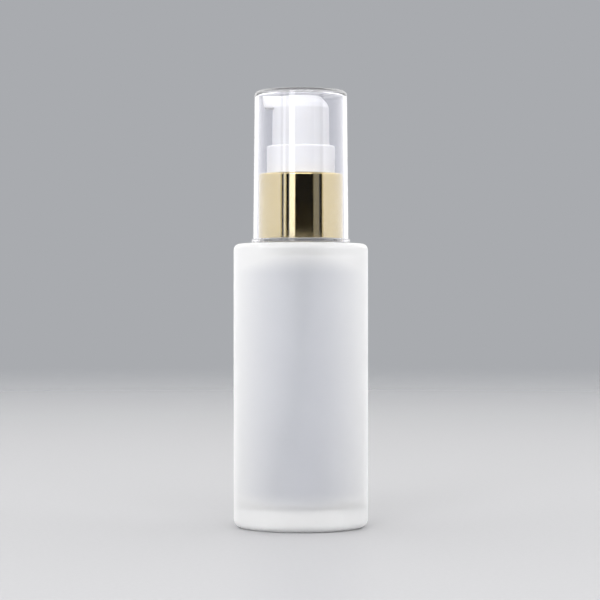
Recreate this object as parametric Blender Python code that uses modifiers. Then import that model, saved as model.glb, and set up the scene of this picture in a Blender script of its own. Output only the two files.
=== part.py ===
"""Foundation bottle: frosted glass, a lotion pump under a metal collar, and a clear overcap.

Everything is turned about the Z axis and stands on z = 0, with the nozzle towards -X.
Sizes are in metres. The driving sizes come first, and the places that follow from them
are worked out after them, from the bottle's base up and from the stem outwards.
"""

import math

import bmesh
import bpy
from mathutils import Matrix, Vector

MM = 0.001

# --- Bottle ---------------------------------------------------------------------------
BODY_RADIUS = 16.0 * MM
SHOULDER_HEIGHT = 67.4 * MM
BODY_WALL = 2.7 * MM
FLOOR_THICKNESS = 4.7 * MM
SHOULDER_THICKNESS = 2.9 * MM
SHOULDER_ROUNDING = 1.5 * MM
HEEL_ROUNDING = 2.0 * MM
CAVITY_FLOOR_ROUNDING = 2.5 * MM
CAVITY_CEILING_ROUNDING = 1.5 * MM
NECK_MOUTH_ROUNDING = 0.8 * MM
NECK_FOOT_ROUNDING = 0.6 * MM
LIP_ROUNDING = 0.4 * MM
PUSH_UP_DEPTH = 0.8 * MM
FOOT_RING_WIDTH = 3.0 * MM
NECK_HEIGHT = 12.8 * MM
NECK_WALL = 2.9 * MM

# --- Screw thread, one right-hand start -------------------------------------------------
THREAD_PITCH = 3.175 * MM
NECK_THREAD_TURNS = 1.5
CLOSURE_THREAD_TURNS = 1.25
THREAD_HEIGHT = 0.315 * THREAD_PITCH
THREAD_TOP_TO_LIP = 2.0 * MM
THREAD_SINK = 0.1 * MM
THREAD_CLEARANCE = 0.15 * MM
THREAD_ROOT_GAP = 0.35 * MM
THREAD_RUN_OUT_TURNS = 0.125
THREAD_END_SHARE = 0.3

# --- Pump -------------------------------------------------------------------------------
STROKE = 5.5 * MM
STEM_RADIUS = 2.0 * MM
STEM_TAIL_RADIUS = 1.5 * MM
STEM_BORE_RADIUS = 0.9 * MM
STEM_PORT_RADIUS = 0.45 * MM
PUMP_BORE_RADIUS = 3.5 * MM
HOUSING_WALL = 0.8 * MM
FLANGE_THICKNESS = 0.8 * MM
FLANGE_SETBACK = 0.5 * MM
GASKET_THICKNESS = 0.8 * MM
GASKET_SETBACK = 0.3 * MM
CHAPLET_DEPTH = 5.6 * MM
CHAPLET_BOSS_HEIGHT = 2.4 * MM
CHAPLET_BOSS_WALL = 2.3 * MM
PISTON_LENGTH = 4.6 * MM
PISTON_LIP = 0.9 * MM
PISTON_RELIEF = 0.45 * MM
LOST_MOTION = 0.5 * MM
SEAT_FLANGE = 1.2 * MM
SEAT_SPIGOT = 1.8 * MM
SEAT_FLOOR = 0.8 * MM
SEAT_WALL = 0.55 * MM
SEAT_FLANGE_WIDTH = 0.8 * MM
SPRING_LENGTH = 10.5 * MM
SPRING_WIRE_RADIUS = 0.25 * MM
SPRING_TURNS = 8
SPRING_END_GAP = 0.025 * MM
BALL_RADIUS = 1.5 * MM
BALL_LIFT = 1.0 * MM
BALL_CLEARANCE = 0.07 * MM
CAGE_SIDE_GAP = 0.3 * MM
CAGE_LIP_HOLD = 0.15 * MM
CAGE_LIP_THICKNESS = 0.5 * MM
CAGE_LIP_INSET = 0.4 * MM
CAGE_LIP_LEAD = 0.1 * MM
INLET_LENGTH = 0.6 * MM
INLET_RADIUS = 1.0 * MM
TUBE_RADIUS = 1.5 * MM
TUBE_WALL = 0.4 * MM
TUBE_SOCKET_DEPTH = 4.5 * MM
TUBE_TIP_HEIGHT = 1.0 * MM
TUBE_TIP_TO_WALL = 4.3 * MM
VENT_RADIUS = 0.4 * MM

# --- Closure and its metal shell --------------------------------------------------------
CLOSURE_WALL = 0.65 * MM
CLOSURE_DECK = 1.0 * MM
CLOSURE_STEP = 0.4 * MM
CLOSURE_TO_SHOULDER = 1.0 * MM
SNAP_COLLAR_WALL = 0.7 * MM
SNAP_COLLAR_DROP = 1.35 * MM
TOWER_WALL = 0.92 * MM
TOWER_ROUNDING = 0.4 * MM
SHELL_WALL = 0.35 * MM
SHELL_ROUNDING = 0.5 * MM

# --- Actuator ---------------------------------------------------------------------------
ACTUATOR_RADIUS = 6.85 * MM
ACTUATOR_DRAFT = 0.15 * MM
ACTUATOR_HEIGHT = 13.4 * MM
ACTUATOR_WALL = 0.8 * MM
ACTUATOR_ROOF = 1.2 * MM
CROWN_INSET = 2.05 * MM
CROWN_DROP = 1.7 * MM
CROWN_STEP = 0.45 * MM
CROWN_EDGE_ROUNDING = 0.4 * MM
CROWN_SIDE_ROUNDING = 1.2 * MM
SKIRT_ENGAGEMENT = 1.6 * MM
STEM_ENGAGEMENT = 5.6 * MM
POST_WALL = 1.1 * MM
CHANNEL_RADIUS = 0.8 * MM
CHANNEL_WALL = 0.6 * MM
NOZZLE_REACH = 9.06 * MM
NOZZLE_RAKE = 0.36 * MM
BEAK_WIDTH = 5.2 * MM
BEAK_DEPTH = 2.9 * MM
BEAK_TAPER = 0.25 * MM
BEAK_ROUNDING = 0.35 * MM
BEAK_SETDOWN = 0.02 * MM

# --- Overcap ----------------------------------------------------------------------------
OVERCAP_WALL = 0.8 * MM
OVERCAP_ROOF = 1.05 * MM
OVERCAP_ROUNDING = 1.23 * MM
OVERCAP_INNER_ROUNDING = 0.5 * MM
OVERCAP_DRAFT = 0.35 * MM
OVERCAP_RIM_WIDTH = 0.35 * MM
OVERCAP_RIM_HEIGHT = 0.75 * MM
OVERCAP_TO_SHOULDER = 0.3 * MM
OVERCAP_TO_SHELL = 0.45 * MM
OVERCAP_TO_NOZZLE = 1.1 * MM
OVERCAP_HEADROOM = 0.35 * MM

# --- Gaps between pieces ----------------------------------------------------------------
REST_GAP = 0.1 * MM
PRESS_GAP = 0.05 * MM
SLIDE_GAP = 0.08 * MM
SHELL_GAP = 0.15 * MM
NECK_BORE_GAP = 0.6 * MM
SKIRT_GAP = 0.35 * MM
STOP_GAP = 0.4 * MM

# --- Shape of moulded edges ---------------------------------------------------------------
MOULDED_EDGE = 0.3 * MM

# --- Facets -----------------------------------------------------------------------------
LARGE_FACETS = 40
ACTUATOR_FACETS = 32
SMALL_FACETS = 24
SPRING_STEPS = 10
TUBE_STEPS = 14
BALL_FACETS = 16
ROD_FACETS = 12
FILLET_STEPS = 2
MERGE_DISTANCE = 0.00001
SHARP_ANGLE = math.radians(35)

# --- Heights, from the base up ----------------------------------------------------------
LIP_Z = SHOULDER_HEIGHT + NECK_HEIGHT
NECK_THREAD_Z = LIP_Z - THREAD_TOP_TO_LIP - THREAD_PITCH * NECK_THREAD_TURNS
GASKET_Z = LIP_Z + REST_GAP
FLANGE_Z = GASKET_Z + GASKET_THICKNESS + REST_GAP
FLANGE_TOP_Z = FLANGE_Z + FLANGE_THICKNESS
DECK_Z = FLANGE_TOP_Z + REST_GAP
DECK_TOP_Z = DECK_Z + CLOSURE_DECK
STEP_Z = DECK_TOP_Z + CLOSURE_STEP
SHELL_TOP_Z = STEP_Z + SHELL_GAP + SHELL_WALL
CLOSURE_Z = SHOULDER_HEIGHT + CLOSURE_TO_SHOULDER
SKIRT_Z = DECK_TOP_Z + STOP_GAP + STROKE
TOWER_TOP_Z = SKIRT_Z + SKIRT_ENGAGEMENT
ACTUATOR_TOP_Z = SKIRT_Z + ACTUATOR_HEIGHT
BOSS_TOP_Z = DECK_TOP_Z + CHAPLET_BOSS_HEIGHT
POST_Z = BOSS_TOP_Z + STOP_GAP + STROKE
STEM_TOP_Z = POST_Z + STEM_ENGAGEMENT
CHANNEL_Z = ACTUATOR_TOP_Z - CHANNEL_WALL - CHANNEL_RADIUS
OVERCAP_Z = SHOULDER_HEIGHT + OVERCAP_TO_SHOULDER
OVERCAP_ROOF_Z = ACTUATOR_TOP_Z + OVERCAP_HEADROOM
OVERCAP_TOP_Z = OVERCAP_ROOF_Z + OVERCAP_ROOF

# --- Heights inside the pump, from its flange down ---------------------------------------
CHAPLET_Z = FLANGE_TOP_Z - CHAPLET_DEPTH
PISTON_TOP_Z = CHAPLET_Z - REST_GAP
PISTON_Z = PISTON_TOP_Z - PISTON_LENGTH
STEM_SHOULDER_Z = PISTON_TOP_Z + PRESS_GAP + LOST_MOTION
SEAT_TOP_Z = PISTON_Z - PRESS_GAP
SEAT_FLANGE_Z = SEAT_TOP_Z - SEAT_FLANGE
SEAT_Z = SEAT_FLANGE_Z - SEAT_SPIGOT
STEM_Z = SEAT_Z + SEAT_FLOOR + PRESS_GAP
SPRING_TOP_Z = SEAT_FLANGE_Z - PRESS_GAP
SPRING_Z = SPRING_TOP_Z - SPRING_LENGTH
LEDGE_Z = SPRING_Z - PRESS_GAP

# --- Radii, from the stem outwards -------------------------------------------------------
CHAPLET_BORE = STEM_RADIUS + SLIDE_GAP
CHAPLET_PLUG = PUMP_BORE_RADIUS - PRESS_GAP
BOSS_RADIUS = CHAPLET_BORE + CHAPLET_BOSS_WALL
PISTON_RADIUS = PUMP_BORE_RADIUS - PRESS_GAP
PISTON_BORE = STEM_TAIL_RADIUS + PRESS_GAP
SEAT_BORE = STEM_TAIL_RADIUS + PRESS_GAP
SEAT_SPIGOT_RADIUS = SEAT_BORE + SEAT_WALL
SEAT_RADIUS = SEAT_SPIGOT_RADIUS + SEAT_FLANGE_WIDTH
SPRING_RADIUS = SEAT_SPIGOT_RADIUS + REST_GAP + SPRING_WIRE_RADIUS
HOUSING_RADIUS = PUMP_BORE_RADIUS + HOUSING_WALL
CAGE_BORE = BALL_RADIUS + CAGE_SIDE_GAP
CAGE_LIP = BALL_RADIUS - CAGE_LIP_HOLD
SOCKET_BORE = TUBE_RADIUS + PRESS_GAP
NECK_BORE = HOUSING_RADIUS + NECK_BORE_GAP
NECK_RADIUS = NECK_BORE + NECK_WALL
FLANGE_RADIUS = NECK_RADIUS - FLANGE_SETBACK
GASKET_RADIUS = FLANGE_RADIUS - GASKET_SETBACK
THREAD_CREST = NECK_RADIUS + THREAD_HEIGHT
SNAP_COLLAR_BORE = FLANGE_RADIUS + SHELL_GAP
SNAP_COLLAR_RADIUS = SNAP_COLLAR_BORE + SNAP_COLLAR_WALL
POST_BORE = STEM_RADIUS + SLIDE_GAP
POST_RADIUS = POST_BORE + POST_WALL
TOWER_BORE = ACTUATOR_RADIUS + SKIRT_GAP
TOWER_RADIUS = TOWER_BORE + TOWER_WALL
CLOSURE_BORE = max(THREAD_CREST, SNAP_COLLAR_RADIUS) + THREAD_CLEARANCE
CLOSURE_RADIUS = max(CLOSURE_BORE + CLOSURE_WALL, TOWER_RADIUS + 2 * SHELL_ROUNDING)
SHELL_BORE = CLOSURE_RADIUS + SHELL_GAP
SHELL_RADIUS = SHELL_BORE + SHELL_WALL
OVERCAP_TOP_BORE = max(
    SHELL_RADIUS + OVERCAP_TO_SHELL - OVERCAP_DRAFT, NOZZLE_REACH + OVERCAP_TO_NOZZLE
)
OVERCAP_BORE = OVERCAP_TOP_BORE + OVERCAP_DRAFT
CAVITY_RADIUS = BODY_RADIUS - BODY_WALL

# --- The valve cage at the pump's foot ---------------------------------------------------
# The ball rests in a 45 degree cone, so its centre is the ball's radius times root 2
# above the cone's apex.
SEAT_CONE_DROP = CAGE_BORE - INLET_RADIUS
BALL_RISE_TO_LIP = math.sqrt(BALL_RADIUS**2 - CAGE_LIP**2) + BALL_LIFT + BALL_CLEARANCE
CAGE_LIP_Z = LEDGE_Z - CAGE_LIP_INSET - CAGE_LIP_THICKNESS
BALL_Z = CAGE_LIP_Z - BALL_RISE_TO_LIP
CONE_Z = BALL_Z - BALL_CLEARANCE - BALL_RADIUS * math.sqrt(2) + INLET_RADIUS
CAGE_Z = CONE_Z + SEAT_CONE_DROP
SOCKET_TOP_Z = CONE_Z - INLET_LENGTH
HOUSING_Z = SOCKET_TOP_Z - TUBE_SOCKET_DEPTH
TUBE_TOP_Z = SOCKET_TOP_Z - REST_GAP
TUBE_TIP_Z = FLOOR_THICKNESS + TUBE_TIP_HEIGHT
TUBE_TIP_X = -(CAVITY_RADIUS - TUBE_RADIUS - TUBE_TIP_TO_WALL)


def clear_scene():
    for obj in list(bpy.data.objects):
        bpy.data.objects.remove(obj, do_unlink=True)


def make_collection(name):
    collection = bpy.data.collections.new(name)
    bpy.context.scene.collection.children.link(collection)
    return collection


def make_material(name, colour, roughness, metallic=0.0, alpha=1.0):
    material = bpy.data.materials.new(name)
    material.use_nodes = True
    surface = material.node_tree.nodes["Principled BSDF"]
    surface.inputs["Base Color"].default_value = (*colour, 1.0)
    surface.inputs["Roughness"].default_value = roughness
    surface.inputs["Metallic"].default_value = metallic
    surface.inputs["Alpha"].default_value = alpha
    material.diffuse_color = (*colour, alpha)
    return material


def joint_empty(name, collection, height, parent=None):
    """An empty on the Z axis, which carries the pieces that move together."""
    empty = bpy.data.objects.new(name, None)
    empty.empty_display_size = 5 * MM
    collection.objects.link(empty)
    empty.parent = parent
    empty.location.z = height - (world_height(parent) if parent else 0.0)
    return empty


def world_height(obj):
    return obj.location.z + (world_height(obj.parent) if obj.parent else 0.0)


def rounded(corners, closed=True):
    """The outline through (radius, height, rounding) corners, with an arc at each rounding."""
    spots = [Vector(corner[:2]) for corner in corners]
    outline = []
    for i, corner in enumerate(corners):
        at_end = not closed and i in (0, len(corners) - 1)
        if len(corner) < 3 or at_end:
            outline.append(spots[i])
            continue
        to_last = spots[i - 1] - spots[i]
        to_next = spots[(i + 1) % len(spots)] - spots[i]
        half = to_last.angle(to_next) / 2
        reach = min(corner[2] / math.tan(half), 0.45 * to_last.length, 0.45 * to_next.length)
        radius = reach * math.tan(half)
        start = to_last.normalized() * reach
        middle = (to_last.normalized() + to_next.normalized()).normalized() * radius / math.sin(half)
        sweep = (start - middle).angle_signed(to_next.normalized() * reach - middle)
        for step in range(FILLET_STEPS + 1):
            turn = Matrix.Rotation(-sweep * step / FILLET_STEPS, 2)
            outline.append(spots[i] + middle + turn @ (start - middle))
    return outline


def realised(obj):
    """The object with its modifiers made part of its mesh, shaded smooth up to its corners."""
    graph = bpy.context.evaluated_depsgraph_get()
    mesh = bpy.data.meshes.new_from_object(obj.evaluated_get(graph))
    obj.modifiers.clear()
    obj.data = mesh
    obj.data.name = obj.name
    mesh.shade_smooth()
    mesh.set_sharp_from_angle(angle=SHARP_ANGLE)
    return obj


def add_object(name, mesh, collection, material=None, parent=None, height=0.0):
    """An object on the Z axis at this height, whose mesh is drawn in heights from the base."""
    mesh.transform(Matrix.Translation((0, 0, -height)))
    obj = bpy.data.objects.new(name, mesh)
    obj.parent = parent
    obj.location.z = height - (world_height(parent) if parent else 0.0)
    collection.objects.link(obj)
    if material:
        obj.data.materials.append(material)
    return obj


def turned_mesh(name, outline, facets, closed=True):
    """A mesh of this outline turned about Z. The outline runs down its outer side."""
    mesh = bpy.data.meshes.new(name)
    last = len(outline) - 1
    edges = [(i, i + 1) for i in range(last)]
    if closed:
        edges.append((last, 0))
    mesh.from_pydata([(x, 0, z) for x, z in outline], edges, [])
    blank = bpy.data.objects.new(name, mesh)
    bpy.context.scene.collection.objects.link(blank)
    screw = blank.modifiers.new("Turn", "SCREW")
    screw.steps = screw.render_steps = facets
    screw.use_merge_vertices = True
    screw.merge_threshold = MERGE_DISTANCE
    return consume(blank)


def consume(blank):
    """The evaluated mesh of a helper object, which is removed."""
    graph = bpy.context.evaluated_depsgraph_get()
    mesh = bpy.data.meshes.new_from_object(blank.evaluated_get(graph))
    mesh.transform(blank.matrix_world)
    bpy.data.objects.remove(blank, do_unlink=True)
    weld = bmesh.new()
    weld.from_mesh(mesh)
    bmesh.ops.remove_doubles(weld, verts=weld.verts, dist=MERGE_DISTANCE)
    weld.to_mesh(mesh)
    weld.free()
    return mesh


def curve_mesh(name, points, depth, capped=True, weights=None):
    """A mesh of the round wire along these points, with its thickness scaled by the weights."""
    curve = bpy.data.curves.new(name, "CURVE")
    curve.dimensions = "3D"
    curve.bevel_depth = depth
    curve.bevel_resolution = 2
    curve.use_fill_caps = capped
    spline = curve.splines.new("POLY")
    spline.points.add(len(points) - 1)
    for i, point in enumerate(points):
        spline.points[i].co = (*point, 1.0)
        spline.points[i].radius = weights[i] if weights else 1.0
    blank = bpy.data.objects.new(name, curve)
    bpy.context.scene.collection.objects.link(blank)
    return consume(blank)


def rod_mesh(radius, start, end):
    """A closed cylinder between two points."""
    start, end = Vector(start), Vector(end)
    axis = end - start
    shape = bmesh.new()
    bmesh.ops.create_cone(
        shape,
        cap_ends=True,
        segments=ROD_FACETS,
        radius1=radius,
        radius2=radius,
        depth=axis.length,
    )
    turn = axis.to_track_quat("Z", "X").to_matrix().to_4x4()
    shape.transform(Matrix.Translation((start + end) / 2) @ turn)
    mesh = bpy.data.meshes.new("rod")
    shape.to_mesh(mesh)
    shape.free()
    return mesh


def cutter(name, mesh, helpers):
    """A helper object that joins or cuts other pieces and is never part of the model."""
    obj = add_object(name, mesh, helpers)
    obj.hide_render = True
    obj.display_type = "WIRE"
    return obj


def combine(obj, other, operation):
    boolean = obj.modifiers.new(other.name, "BOOLEAN")
    boolean.operation = operation
    boolean.solver = "EXACT"
    boolean.object = other


def thread_mesh(name, root, start_z, first_turn, last_turn, depth, inset=0.0):
    """A right-hand thread as a round bead, which thins out at each end.

    The bead's centre lies the inset times its own thickness inside the root radius.
    """
    steps = round((last_turn - first_turn) * LARGE_FACETS)
    points, weights = [], []
    for step in range(steps + 1):
        turn = first_turn + step / LARGE_FACETS
        angle = 2 * math.pi * turn
        run_out = min(step, steps - step) / LARGE_FACETS / THREAD_RUN_OUT_TURNS
        weight = min(1.0, THREAD_END_SHARE + (1 - THREAD_END_SHARE) * run_out)
        radius = root - inset * weight * depth
        height = start_z + THREAD_PITCH * turn
        points.append((radius * math.cos(angle), radius * math.sin(angle), height))
        weights.append(weight)
    return curve_mesh(name, points, depth, weights=weights)


def bottle(parts, helpers, material):
    ring_outer = BODY_RADIUS - HEEL_ROUNDING
    ring_inner = ring_outer - FOOT_RING_WIDTH
    ceiling = SHOULDER_HEIGHT - SHOULDER_THICKNESS
    outline = rounded(
        [
            (0, FLOOR_THICKNESS),
            (CAVITY_RADIUS, FLOOR_THICKNESS, CAVITY_FLOOR_ROUNDING),
            (CAVITY_RADIUS, ceiling, CAVITY_CEILING_ROUNDING),
            (NECK_BORE, ceiling, NECK_MOUTH_ROUNDING),
            (NECK_BORE, LIP_Z),
            (NECK_RADIUS, LIP_Z, LIP_ROUNDING),
            (NECK_RADIUS, SHOULDER_HEIGHT, NECK_FOOT_ROUNDING),
            (BODY_RADIUS, SHOULDER_HEIGHT, SHOULDER_ROUNDING),
            (BODY_RADIUS, 0, HEEL_ROUNDING),
            (ring_inner, 0),
            (ring_inner - PUSH_UP_DEPTH, PUSH_UP_DEPTH),
            (0, PUSH_UP_DEPTH),
        ],
        closed=False,
    )
    mesh = turned_mesh("bottle", outline, LARGE_FACETS, closed=False)
    piece = add_object("bottle", mesh, parts, material)
    depth = THREAD_HEIGHT + THREAD_SINK
    thread = thread_mesh(
        "neck_thread", NECK_RADIUS - THREAD_SINK, NECK_THREAD_Z, 0, NECK_THREAD_TURNS, depth
    )
    combine(piece, cutter("neck_thread", thread, helpers), "UNION")
    return realised(piece)


def gasket(parts, material, parent):
    outline = [
        (GASKET_RADIUS, GASKET_Z + GASKET_THICKNESS),
        (GASKET_RADIUS, GASKET_Z),
        (HOUSING_RADIUS + REST_GAP, GASKET_Z),
        (HOUSING_RADIUS + REST_GAP, GASKET_Z + GASKET_THICKNESS),
    ]
    mesh = turned_mesh("gasket", outline, LARGE_FACETS)
    return realised(add_object("gasket", mesh, parts, material, parent, GASKET_Z))


def pump_housing(parts, helpers, material, parent):
    """The pump's body: the flange that seats on the neck, the bore, the valve cage, the tube socket."""
    cage_outer = CAGE_BORE + HOUSING_WALL
    socket_outer = SOCKET_BORE + HOUSING_WALL
    outline = [
        (FLANGE_RADIUS, FLANGE_TOP_Z),
        (FLANGE_RADIUS, FLANGE_Z),
        (HOUSING_RADIUS, FLANGE_Z),
        (HOUSING_RADIUS, LEDGE_Z - HOUSING_WALL),
        (cage_outer, LEDGE_Z - 2 * HOUSING_WALL),
        (cage_outer, CONE_Z),
        (socket_outer, CONE_Z - (cage_outer - socket_outer)),
        (socket_outer, HOUSING_Z),
        (SOCKET_BORE, HOUSING_Z),
        (SOCKET_BORE, SOCKET_TOP_Z),
        (INLET_RADIUS, SOCKET_TOP_Z),
        (INLET_RADIUS, CONE_Z),
        (CAGE_BORE, CAGE_Z),
        (CAGE_BORE, CAGE_LIP_Z),
        (CAGE_LIP, CAGE_LIP_Z + CAGE_LIP_LEAD),
        (CAGE_LIP, CAGE_LIP_Z + CAGE_LIP_THICKNESS),
        (CAGE_BORE, LEDGE_Z),
        (PUMP_BORE_RADIUS, LEDGE_Z),
        (PUMP_BORE_RADIUS, FLANGE_TOP_Z),
    ]
    mesh = turned_mesh("pump_housing", outline, SMALL_FACETS)
    piece = add_object("pump_housing", mesh, parts, material, parent, FLANGE_Z)
    # At rest the vent opens between the piston's two lips, which seal it.
    vent_z = PISTON_Z + PISTON_LENGTH / 2
    vent = rod_mesh(
        VENT_RADIUS,
        (PUMP_BORE_RADIUS - REST_GAP, 0, vent_z),
        (HOUSING_RADIUS + REST_GAP, 0, vent_z),
    )
    combine(piece, cutter("vent_drill", vent, helpers), "DIFFERENCE")
    return realised(piece)


def chaplet(parts, material, parent):
    """The stem guide: a plug in the pump's bore and a boss that stands through the closure's deck."""
    outline = rounded(
        [
            (BOSS_RADIUS, BOSS_TOP_Z, MOULDED_EDGE),
            (BOSS_RADIUS, FLANGE_TOP_Z + PRESS_GAP),
            (CHAPLET_PLUG, FLANGE_TOP_Z + PRESS_GAP),
            (CHAPLET_PLUG, CHAPLET_Z, MOULDED_EDGE),
            (CHAPLET_BORE, CHAPLET_Z),
            (CHAPLET_BORE, BOSS_TOP_Z),
        ]
    )
    mesh = turned_mesh("chaplet", outline, SMALL_FACETS)
    return realised(add_object("chaplet", mesh, parts, material, parent, FLANGE_TOP_Z))


def dip_tube(parts, material, parent):
    """A soft tube that leaves its socket straight and bows to the cavity's corner under the nozzle."""
    mouth = HOUSING_Z
    points = [(0, 0, TUBE_TOP_Z), (0, 0, (TUBE_TOP_Z + mouth) / 2), (0, 0, mouth)]
    for step in range(1, TUBE_STEPS + 1):
        share = step / TUBE_STEPS
        height = mouth + (TUBE_TIP_Z - mouth) * share
        points.append((TUBE_TIP_X * share**2, 0, height))
    mesh = curve_mesh("dip_tube", points, TUBE_RADIUS, capped=False)
    piece = add_object("dip_tube", mesh, parts, material, parent, HOUSING_Z)
    wall = piece.modifiers.new("Wall", "SOLIDIFY")
    wall.thickness = TUBE_WALL
    wall.offset = -1
    return realised(piece)


def inlet_ball(parts, material, parent):
    shape = bmesh.new()
    bmesh.ops.create_uvsphere(
        shape, u_segments=BALL_FACETS, v_segments=BALL_FACETS // 2, radius=BALL_RADIUS
    )
    shape.transform(Matrix.Translation((0, 0, BALL_Z)))
    mesh = bpy.data.meshes.new("inlet_ball")
    shape.to_mesh(mesh)
    shape.free()
    return realised(add_object("inlet_ball", mesh, parts, material, parent, BALL_Z))


def spring(parts, material, parent):
    """A compression spring whose first and last turns lie closed."""
    closed_pitch = 2 * SPRING_WIRE_RADIUS + SPRING_END_GAP
    rise = SPRING_LENGTH - 2 * SPRING_WIRE_RADIUS
    open_pitch = (rise - 2 * closed_pitch) / (SPRING_TURNS - 2)
    points = []
    for step in range(SPRING_TURNS * SPRING_STEPS + 1):
        turn = step / SPRING_STEPS
        middle = min(max(turn - 1, 0), SPRING_TURNS - 2)
        climbed = closed_pitch * (turn - middle) + open_pitch * middle
        angle = 2 * math.pi * turn
        points.append(
            (
                SPRING_RADIUS * math.cos(angle),
                SPRING_RADIUS * math.sin(angle),
                SPRING_Z + SPRING_WIRE_RADIUS + climbed,
            )
        )
    mesh = curve_mesh("spring", points, SPRING_WIRE_RADIUS)
    return realised(add_object("spring", mesh, parts, material, parent, SPRING_Z))


def stem(parts, helpers, material, parent):
    """The hollow stem, with two cross ports in its narrow tail."""
    port_z = PISTON_Z + PISTON_LENGTH / 3
    outline = rounded(
        [
            (0, port_z - 2 * STEM_PORT_RADIUS),
            (STEM_BORE_RADIUS, port_z - 2 * STEM_PORT_RADIUS),
            (STEM_BORE_RADIUS, STEM_TOP_Z),
            (STEM_RADIUS, STEM_TOP_Z, MOULDED_EDGE),
            (STEM_RADIUS, STEM_SHOULDER_Z),
            (STEM_TAIL_RADIUS, STEM_SHOULDER_Z),
            (STEM_TAIL_RADIUS, STEM_Z, MOULDED_EDGE),
            (0, STEM_Z),
        ],
        closed=False,
    )
    mesh = turned_mesh("stem", outline, SMALL_FACETS, closed=False)
    piece = add_object("stem", mesh, parts, material, parent, STEM_SHOULDER_Z)
    # The ports are drilled through the middles of two facets.
    reach = STEM_TAIL_RADIUS + REST_GAP
    half_facet = math.pi / SMALL_FACETS
    across, along = reach * math.sin(half_facet), reach * math.cos(half_facet)
    ports = rod_mesh(STEM_PORT_RADIUS, (-across, -along, port_z), (across, along, port_z))
    combine(piece, cutter("port_drill", ports, helpers), "DIFFERENCE")
    return realised(piece)


def piston_seat(parts, material, parent):
    """The plug on the stem's foot: the piston seals on its top, the spring pushes under its flange."""
    outline = rounded(
        [
            (0, SEAT_Z + SEAT_FLOOR),
            (SEAT_BORE, SEAT_Z + SEAT_FLOOR),
            (SEAT_BORE, SEAT_TOP_Z),
            (SEAT_RADIUS, SEAT_TOP_Z, MOULDED_EDGE),
            (SEAT_RADIUS, SEAT_FLANGE_Z),
            (SEAT_SPIGOT_RADIUS, SEAT_FLANGE_Z),
            (SEAT_SPIGOT_RADIUS, SEAT_Z, MOULDED_EDGE),
            (0, SEAT_Z),
        ],
        closed=False,
    )
    mesh = turned_mesh("piston_seat", outline, SMALL_FACETS, closed=False)
    return realised(add_object("piston_seat", mesh, parts, material, parent, SEAT_TOP_Z))


def piston(parts, material, parent):
    """A soft ring with a sealing lip at each end, and room inside for the stem's ports."""
    waist = PISTON_RADIUS - PISTON_RELIEF
    chamber = PISTON_BORE + PISTON_RELIEF
    outline = [
        (PISTON_RADIUS, PISTON_TOP_Z),
        (PISTON_RADIUS, PISTON_TOP_Z - PISTON_LIP),
        (waist, PISTON_TOP_Z - 2 * PISTON_LIP),
        (waist, PISTON_Z + 2 * PISTON_LIP),
        (PISTON_RADIUS, PISTON_Z + PISTON_LIP),
        (PISTON_RADIUS, PISTON_Z),
        (chamber, PISTON_Z),
        (chamber, PISTON_TOP_Z - 2 * PISTON_LIP),
        (PISTON_BORE, PISTON_TOP_Z - PISTON_LIP),
        (PISTON_BORE, PISTON_TOP_Z),
    ]
    mesh = turned_mesh("piston", outline, SMALL_FACETS)
    return realised(add_object("piston", mesh, parts, material, parent, PISTON_Z))


def closure(parts, helpers, material, parent):
    """The screw closure: a threaded skirt, a deck over the pump's flange, and the actuator's tower."""
    bead_z = FLANGE_Z - REST_GAP
    collar_z = DECK_Z - SNAP_COLLAR_DROP
    outline = rounded(
        [
            (TOWER_RADIUS, TOWER_TOP_Z, TOWER_ROUNDING),
            (TOWER_RADIUS, STEP_Z),
            (CLOSURE_RADIUS, STEP_Z, SHELL_ROUNDING),
            (CLOSURE_RADIUS, CLOSURE_Z),
            (CLOSURE_BORE, CLOSURE_Z),
            (CLOSURE_BORE, DECK_Z),
            (SNAP_COLLAR_RADIUS, DECK_Z),
            (SNAP_COLLAR_RADIUS, collar_z),
            (SNAP_COLLAR_BORE, collar_z),
            (SNAP_COLLAR_BORE - 2 * SHELL_GAP, bead_z),
            (SNAP_COLLAR_BORE, bead_z),
            (SNAP_COLLAR_BORE, DECK_Z),
            (BOSS_RADIUS + 2 * REST_GAP, DECK_Z),
            (BOSS_RADIUS + 2 * REST_GAP, DECK_TOP_Z),
            (TOWER_BORE, DECK_TOP_Z),
            (TOWER_BORE, TOWER_TOP_Z),
        ]
    )
    mesh = turned_mesh("closure", outline, LARGE_FACETS)
    piece = add_object("closure", mesh, parts, material, parent, CLOSURE_Z)
    # The closure's bead runs in the groove of the neck's, from just off the neck to mid-wall.
    bead_inner = NECK_RADIUS + THREAD_ROOT_GAP
    bead_outer = CLOSURE_BORE + CLOSURE_WALL / 2
    thread = thread_mesh(
        "closure_thread",
        bead_outer,
        NECK_THREAD_Z - THREAD_PITCH / 2,
        NECK_THREAD_TURNS - CLOSURE_THREAD_TURNS,
        NECK_THREAD_TURNS,
        (bead_outer - bead_inner) / 2,
        inset=1.0,
    )
    combine(piece, cutter("closure_thread", thread, helpers), "UNION")
    return realised(piece)


def collar_shell(parts, material, parent):
    """The drawn metal shell that covers the closure's skirt, with its top edge turned in."""
    lip_bore = TOWER_RADIUS + SHELL_GAP
    outline = rounded(
        [
            (SHELL_RADIUS, SHELL_TOP_Z, SHELL_ROUNDING),
            (SHELL_RADIUS, CLOSURE_Z),
            (SHELL_BORE, CLOSURE_Z),
            (SHELL_BORE, SHELL_TOP_Z - SHELL_WALL, SHELL_ROUNDING - SHELL_WALL),
            (lip_bore, SHELL_TOP_Z - SHELL_WALL),
            (lip_bore, SHELL_TOP_Z),
        ]
    )
    mesh = turned_mesh("collar_shell", outline, LARGE_FACETS)
    return realised(add_object("collar_shell", mesh, parts, material, parent, CLOSURE_Z))


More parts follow.
